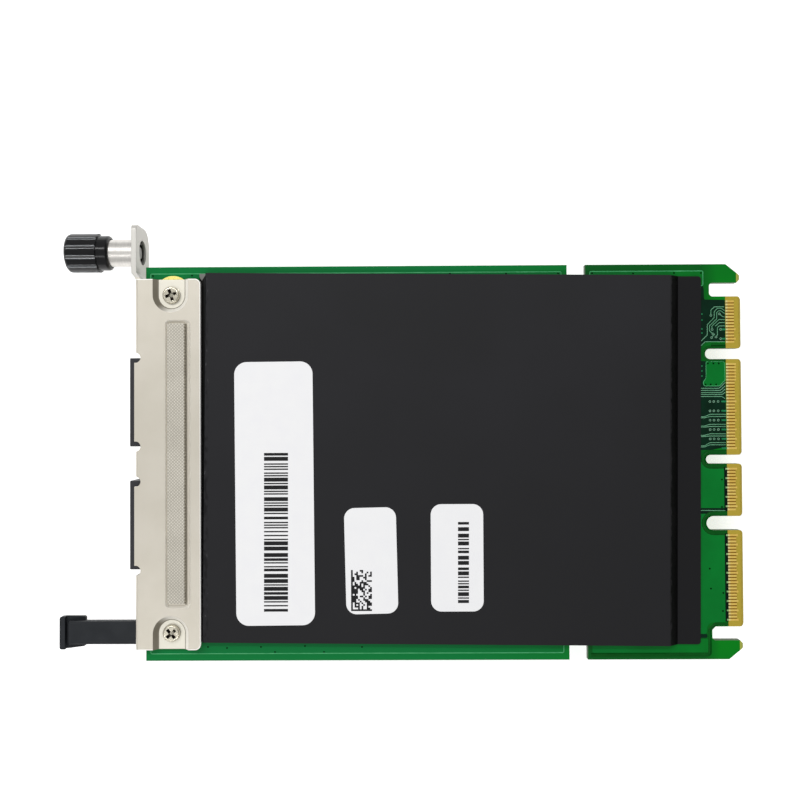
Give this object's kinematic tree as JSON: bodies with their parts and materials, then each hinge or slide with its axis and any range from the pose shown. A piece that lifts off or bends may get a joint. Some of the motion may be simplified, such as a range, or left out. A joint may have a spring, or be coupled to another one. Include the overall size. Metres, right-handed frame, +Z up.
{
  "type": "mezzanine network card",
  "caption": "Flat plug-in network card: green board with a gold edge connector, black insulating film, folded faceplate with modular jacks, spring thumbscrew and pull tab.",
  "frame": {"origin": "under the middle of the card's bounding box, on the surface that it lies on", "axes": "+X from the faceplate to the edge connector, +Y across the board towards the thumbscrew, +Z up out of the insulating film"},
  "size_m": [0.1326, 0.084, 0.0155],
  "materials": {
    "board_green": "green solder mask over copper, satin gloss",
    "contact_gold": "gold plate, bright",
    "bracket_steel": "nickel-plated sheet steel, fine matt grain",
    "gasket_cloth": "conductive cloth over foam, fine diagonal weave",
    "screw_steel": "nickel plate, bright",
    "ferrule_steel": "turned and plated, bright",
    "spring_steel": "drawn wire",
    "knob_black": "black, satin gloss",
    "tab_plastic": "dark grey moulded plastic, fine texture",
    "film_black": "black polycarbonate film, satin",
    "label_white": "white label stock",
    "jack_plastic": "black moulded plastic",
    "shield_steel": "tinned sheet",
    "pipe_clear": "clear light pipe",
    "sink_aluminium": "extruded, clear anodised",
    "thermal_grey": "soft gap pad",
    "package_green": "laminate substrate",
    "die_silicon": "polished silicon",
    "inductor_grey": "pressed iron powder",
    "chip_black": "moulded package",
    "polymer_black": "moulded capacitor case",
    "lid_steel": "plated lid",
    "ceramic_tan": "fired ceramic with tinned ends"
  },
  "bodies": {
    "card": {"circuit_board": "board_green", "edge_contacts_secondary": "contact_gold", "edge_contacts_primary": "contact_gold", "ground_pads": "contact_gold", "faceplate_bracket": "bracket_steel", "gasket_strip": "gasket_cloth", "bracket_screws": "screw_steel", "bracket_nuts": "screw_steel", "thumbscrew_ferrule": "ferrule_steel", "pull_tab": "tab_plastic", "insulator_sheet": "film_black", "heatsink": "sink_aluminium", "heatsink_screws": "screw_steel", "thermal_pad": "thermal_grey", "controller_package": "package_green", "controller_die": "die_silicon", "power_inductors": "inductor_grey", "power_stages": "chip_black", "polymer_capacitors": "polymer_black", "control_chips": "chip_black", "flash_memory": "chip_black", "crystal": "lid_steel", "ceramic_capacitors": "ceramic_tan", "coupling_capacitors": "ceramic_tan", "decoupling_capacitors": "ceramic_tan", "label_large": "label_white", "label_left": "label_white", "label_right": "label_white", "jack_1_housing": "jack_plastic", "jack_1_shield": "shield_steel", "jack_1_wires": "contact_gold", "jack_1_light_pipes": "pipe_clear", "jack_2_housing": "jack_plastic", "jack_2_shield": "shield_steel", "jack_2_wires": "contact_gold", "jack_2_light_pipes": "pipe_clear"},
    "thumbscrew_carriage": {"thumbscrew_spring": "spring_steel"},
    "thumbscrew": {"thumbscrew_knob": "knob_black", "thumbscrew_screw": "screw_steel"}
  },
  "joints": [
    {"name": "thumbscrew_slide", "type": "slide", "parent": "card", "child": "thumbscrew_carriage", "axis": [1, 0, 0], "range_m": [0, 0.0044], "stiffness_N_per_m": 1000, "springref_m": -0.002, "deforming": ["thumbscrew_spring"]},
    {"name": "thumbscrew_spin", "type": "hinge", "parent": "thumbscrew_carriage", "child": "thumbscrew", "pos_m": [-0.0607, 0.03717, 0.01072], "axis": [1, 0, 0], "continuous": true}
  ]
}
